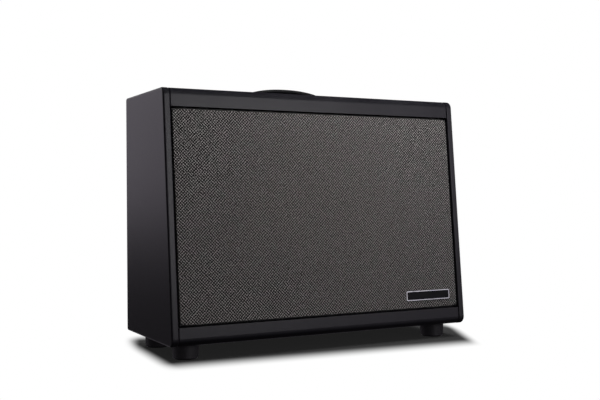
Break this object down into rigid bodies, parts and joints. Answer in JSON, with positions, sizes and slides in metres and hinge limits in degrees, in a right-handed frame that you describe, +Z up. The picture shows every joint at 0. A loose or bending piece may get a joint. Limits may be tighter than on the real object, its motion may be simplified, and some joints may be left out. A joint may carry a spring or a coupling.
{
  "type": "guitar speaker cabinet",
  "caption": "Black vinyl-covered powered guitar speaker cabinet with a leaning cloth grille over coaxial drivers, a top strap handle, rubber feet and a rear amplifier panel.",
  "frame": {"origin": "on the floor under the middle of the cabinet", "axes": "+X to the right as the front is faced, +Y to the back, +Z up"},
  "size_m": [0.706, 0.2885, 0.5684],
  "materials": {
    "covered_board": "black grained vinyl glued over plywood",
    "black_board": "plywood painted matte black",
    "bare_wood": "plain planed softwood",
    "grille_cloth": "grey woven grille cloth",
    "loop_pad": "black hook-and-loop pad",
    "badge_rim": "satin silver",
    "badge_field": "plain gloss black",
    "driver_steel": "black pressed steel",
    "surround_cloth": "doped black cloth",
    "spider_cloth": "varnished amber cloth",
    "cone_paper": "dark grey pressed paper",
    "coil_former": "copper winding on an amber former",
    "gasket_cork": "black pressed gasket",
    "magnet_ferrite": "dark grey ferrite",
    "plated_steel": "zinc-plated steel",
    "black_screw": "black oxide steel",
    "horn_plastic": "black moulded plastic",
    "tweeter_case": "dark cast case",
    "strap_rubber": "black ribbed vinyl strap",
    "cap_plastic": "black moulded cap",
    "foot_rubber": "black rubber",
    "panel_paint": "black powder coat",
    "chassis_steel": "plated sheet steel",
    "circuit_board": "green circuit board",
    "jack_plastic": "black moulded jack",
    "knob_plastic": "black moulded knob",
    "display_glass": "dark display window",
    "button_plastic": "dark grey button",
    "inlet_plastic": "black inlet",
    "rocker_plastic": "black rocker"
  },
  "bodies": {
    "cabinet": {"left_side_board": "covered_board", "right_side_board": "covered_board", "top_board": "covered_board", "bottom_board": "covered_board", "top_front_rail": "covered_board", "bottom_front_rail": "covered_board", "front_baffle": "black_board", "back_panel": "covered_board", "baffle_cleats": "bare_wood", "back_cleats": "bare_wood", "centre_post": "bare_wood", "back_panel_screws": "black_screw", "grille_pads": "loop_pad", "driver_gaskets": "gasket_cork", "top_plates": "plated_steel", "magnet_rings": "magnet_ferrite", "yokes": "plated_steel", "horns": "horn_plastic", "high_frequency_drivers": "tweeter_case", "driver_screws": "black_screw", "handle_caps": "cap_plastic", "handle_screws": "plated_steel", "foot_front_left": "foot_rubber", "foot_front_right": "foot_rubber", "foot_rear_left": "foot_rubber", "foot_rear_right": "foot_rubber", "foot_screws": "plated_steel", "amp_panel": "panel_paint", "amp_chassis": "chassis_steel", "power_board": "circuit_board", "control_board": "circuit_board", "panel_screws": "black_screw", "input_jack_1": "jack_plastic", "input_jack_2": "jack_plastic", "link_jacks": "jack_plastic", "volume_pot": "plated_steel", "select_encoder": "plated_steel", "display_window": "display_glass", "mains_inlet": "inlet_plastic", "rocker_frame": "inlet_plastic", "left_driver_frame": "driver_steel", "left_surround": "surround_cloth", "left_spider": "spider_cloth", "right_driver_frame": "driver_steel", "right_surround": "surround_cloth", "right_spider": "spider_cloth"},
    "grille": {"grille_frame": "black_board", "grille_cloth": "grille_cloth", "badge_plate": "badge_rim", "badge_inlay": "badge_field"},
    "left_moving_cone": {"left_cone": "cone_paper", "left_voice_coil": "coil_former"},
    "right_moving_cone": {"right_cone": "cone_paper", "right_voice_coil": "coil_former"},
    "volume": {"volume_knob": "knob_plastic"},
    "select": {"select_knob": "knob_plastic"},
    "home": {"home_button": "button_plastic"},
    "lift": {"lift_button": "button_plastic"},
    "rocker": {"power_rocker": "rocker_plastic"},
    "handle": {"handle_strap": "strap_rubber"}
  },
  "joints": [
    {"name": "grille_pull", "type": "slide", "parent": "cabinet", "child": "grille", "axis": [0, -0.9959, 0.0908], "range_m": [0, 0.15]},
    {"name": "left_cone_travel", "type": "slide", "parent": "cabinet", "child": "left_moving_cone", "axis": [0, -0.9959, 0.0908], "range_m": [-0.003, 0.003], "stiffness_N_per_m": 4000, "deforming": ["left_surround", "left_spider"]},
    {"name": "right_cone_travel", "type": "slide", "parent": "cabinet", "child": "right_moving_cone", "axis": [0, -0.9959, 0.0908], "range_m": [-0.003, 0.003], "stiffness_N_per_m": 4000, "deforming": ["right_surround", "right_spider"]},
    {"name": "volume_turn", "type": "hinge", "parent": "cabinet", "child": "volume", "pos_m": [-0.01, 0.1215, 0.47], "axis": [0, 1, 0], "range_deg": [-150, 150]},
    {"name": "select_turn", "type": "hinge", "parent": "cabinet", "child": "select", "pos_m": [0.052, 0.1215, 0.47], "axis": [0, 1, 0], "continuous": true},
    {"name": "home_press", "type": "slide", "parent": "cabinet", "child": "home", "axis": [0, -1, 0], "range_m": [0, 0.0012], "stiffness_N_per_m": 400},
    {"name": "lift_press", "type": "slide", "parent": "cabinet", "child": "lift", "axis": [0, -1, 0], "range_m": [0, 0.0012], "stiffness_N_per_m": 400},
    {"name": "rocker_flip", "type": "hinge", "parent": "cabinet", "child": "rocker", "pos_m": [-0.11, 0.1175, 0.448], "axis": [1, 0, 0], "range_deg": [-18, 0]},
    {"name": "handle_lift", "type": "slide", "parent": "cabinet", "child": "handle", "axis": [0, 0, 1], "range_m": [0, 0.004]}
  ]
}
